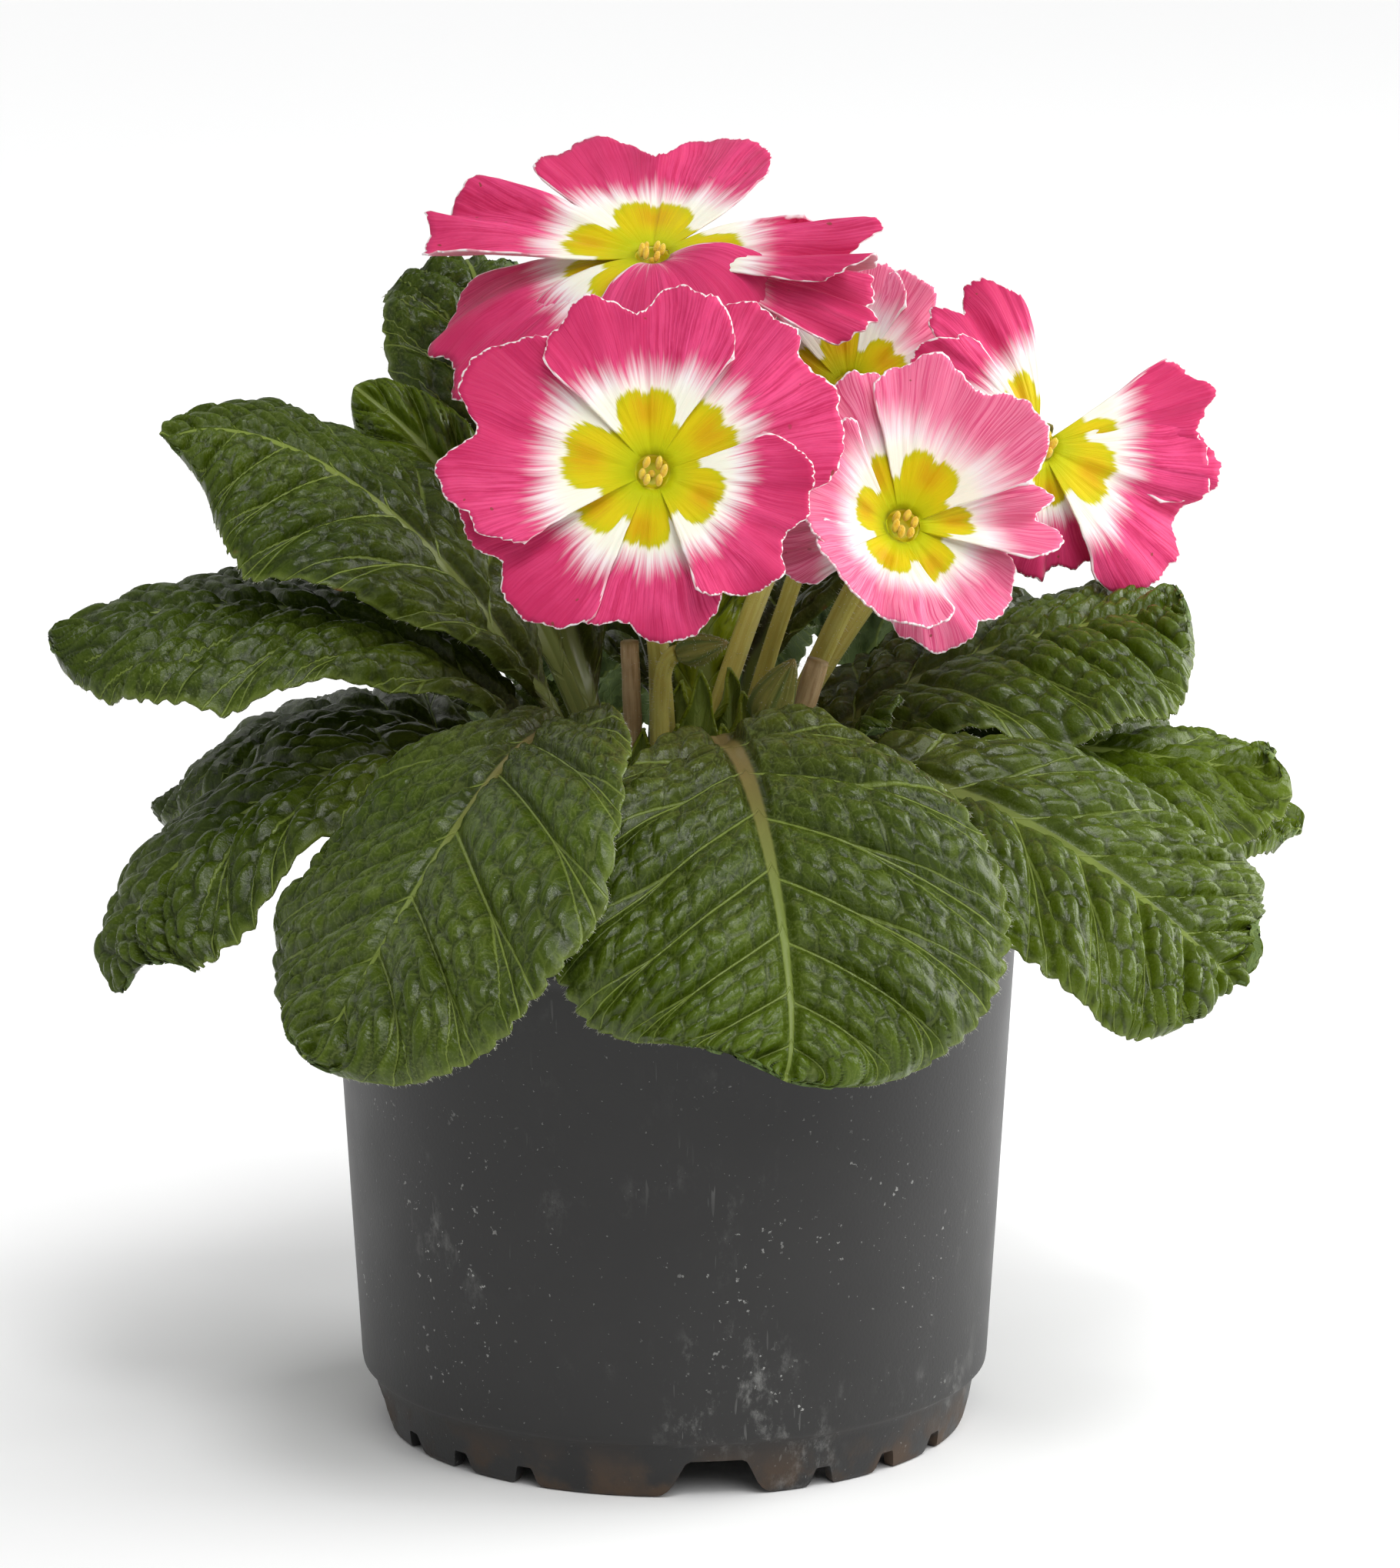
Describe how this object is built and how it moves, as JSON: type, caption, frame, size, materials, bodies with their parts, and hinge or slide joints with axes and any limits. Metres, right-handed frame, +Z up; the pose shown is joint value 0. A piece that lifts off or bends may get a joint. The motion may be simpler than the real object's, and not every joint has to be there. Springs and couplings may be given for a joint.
{
  "type": "potted primrose",
  "caption": "Flowering primrose: a rosette of crinkled dark leaves and pink, white and yellow blooms on hairy stalks in a round black nursery pot.",
  "frame": {"origin": "middle of the pot's foot, on the surface it stands on", "axes": "+Z up, -Y towards the front where the largest bloom faces, +X to the right as seen from the front"},
  "size_m": [0.1902, 0.1639, 0.1917],
  "materials": {
    "pot": "charcoal plastic, satin, with fine pale scuffs",
    "soil": "damp dark potting soil",
    "crown": "rough brown-green stock",
    "leaf": "dark green, crinkled, slightly glossy, pale veins",
    "young_leaf": "light green, softly crinkled",
    "rose_petal": "rose pink, white zone, yellow star, thin white edge",
    "blush_petal": "light pink with darker streaks, white zone, yellow star",
    "bloom_eye": "green-yellow throat with yellow anthers",
    "stalk": "pale olive, softly hairy",
    "bud": "fresh green, ribbed",
    "cut_stalk": "pale brown, dry"
  },
  "bodies": {
    "root": {"pot": "pot", "soil": "soil", "crown": "crown", "leaf_front_mid": "leaf", "leaf_front_left": "leaf", "leaf_right_low": "leaf", "leaf_left_low": "leaf", "leaf_left_mid": "leaf", "leaf_left_up": "leaf", "leaf_top_left": "leaf", "leaf_right_up": "leaf", "leaf_right_mid": "leaf", "leaf_right_far": "leaf", "leaf_right_back": "leaf", "leaf_back_right": "leaf", "leaf_back_mid": "leaf", "leaf_back_left": "leaf", "leaf_left_rear": "leaf", "leaf_back_up": "leaf", "leaf_small_light": "young_leaf", "leaf_young": "young_leaf", "leaf_inner_dark": "leaf", "bloom_front": "rose_petal", "eye_front": "bloom_eye", "stalk_front": "stalk", "bloom_top": "rose_petal", "eye_top": "bloom_eye", "stalk_top": "stalk", "bloom_mid": "blush_petal", "eye_mid": "bloom_eye", "stalk_mid": "stalk", "bloom_back": "blush_petal", "eye_back": "bloom_eye", "stalk_back": "stalk", "bloom_right": "rose_petal", "eye_right": "bloom_eye", "stalk_right": "stalk", "bud_low": "bud", "bud_side": "bud", "bud_tall": "bud", "stub_cut": "cut_stalk", "stub_old": "cut_stalk"}
  },
  "joints": []
}
